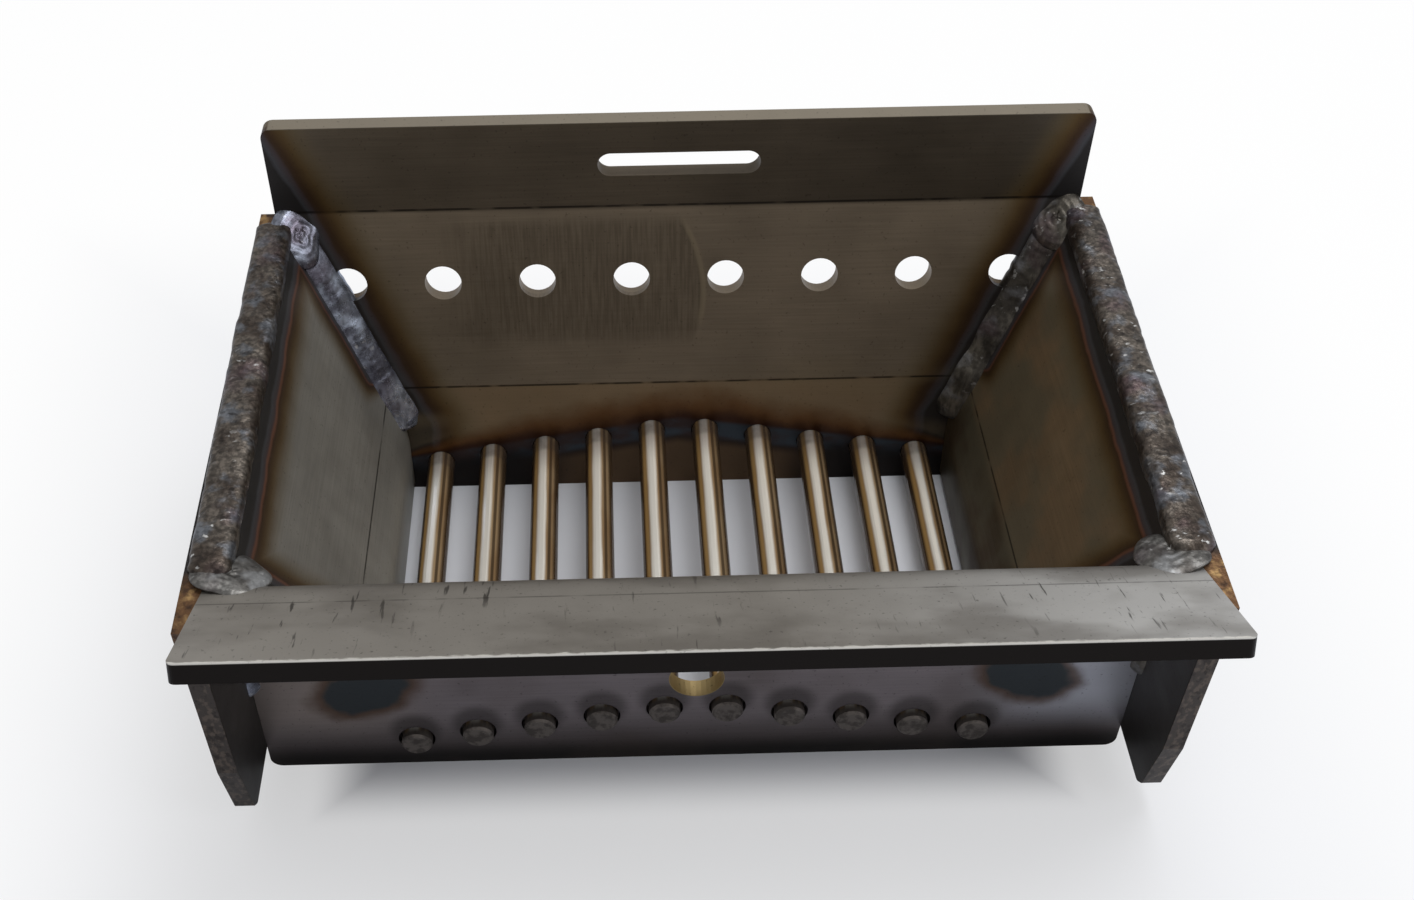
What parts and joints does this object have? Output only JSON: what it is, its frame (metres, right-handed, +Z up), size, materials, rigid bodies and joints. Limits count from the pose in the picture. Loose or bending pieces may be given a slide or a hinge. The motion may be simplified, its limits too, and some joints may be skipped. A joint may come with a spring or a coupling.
{
  "type": "pellet stove burn pot grate",
  "caption": "Welded stainless burn pot: round rods form a roof-shaped grate floor between a bent front plate with a lip and a tall bent back plate with air holes.",
  "frame": {"origin": "middle of the footprint, at the height of the plates' bottom edges that the pot stands on", "axes": "+Z up, +X to the right along the longest extent as seen from the front, -Y towards the front lip"},
  "size_m": [0.23, 0.1674, 0.119],
  "materials": {
    "plate_steel": "mill-finish stainless plate, brushed in places, with heat tint beside the welds",
    "rod_steel": "drawn round bar, bright along the top",
    "weld_metal": "rippled weld bead, blue-grey to brown-black oxide"
  },
  "bodies": {
    "root": {"back_plate": "plate_steel", "front_plate": "plate_steel", "side_plate_right": "plate_steel", "side_plate_left": "plate_steel", "hopper_plate_right": "plate_steel", "hopper_plate_left": "plate_steel", "grate_rod_1": "rod_steel", "grate_rod_2": "rod_steel", "grate_rod_3": "rod_steel", "grate_rod_4": "rod_steel", "grate_rod_5": "rod_steel", "grate_rod_6": "rod_steel", "grate_rod_7": "rod_steel", "grate_rod_8": "rod_steel", "grate_rod_9": "rod_steel", "grate_rod_10": "rod_steel", "rod_weld_1": "weld_metal", "rod_weld_2": "weld_metal", "rod_weld_3": "weld_metal", "rod_weld_4": "weld_metal", "rod_weld_5": "weld_metal", "rod_weld_6": "weld_metal", "rod_weld_7": "weld_metal", "rod_weld_8": "weld_metal", "rod_weld_9": "weld_metal", "rod_weld_10": "weld_metal", "top_seam_weld_right": "weld_metal", "top_seam_weld_left": "weld_metal", "rear_corner_weld_right": "weld_metal", "rear_corner_weld_left": "weld_metal", "front_corner_weld_right": "weld_metal", "front_corner_weld_left": "weld_metal", "front_outer_weld_right": "weld_metal", "front_outer_weld_left": "weld_metal", "hopper_front_weld_right": "weld_metal", "hopper_front_weld_left": "weld_metal"}
  },
  "joints": []
}
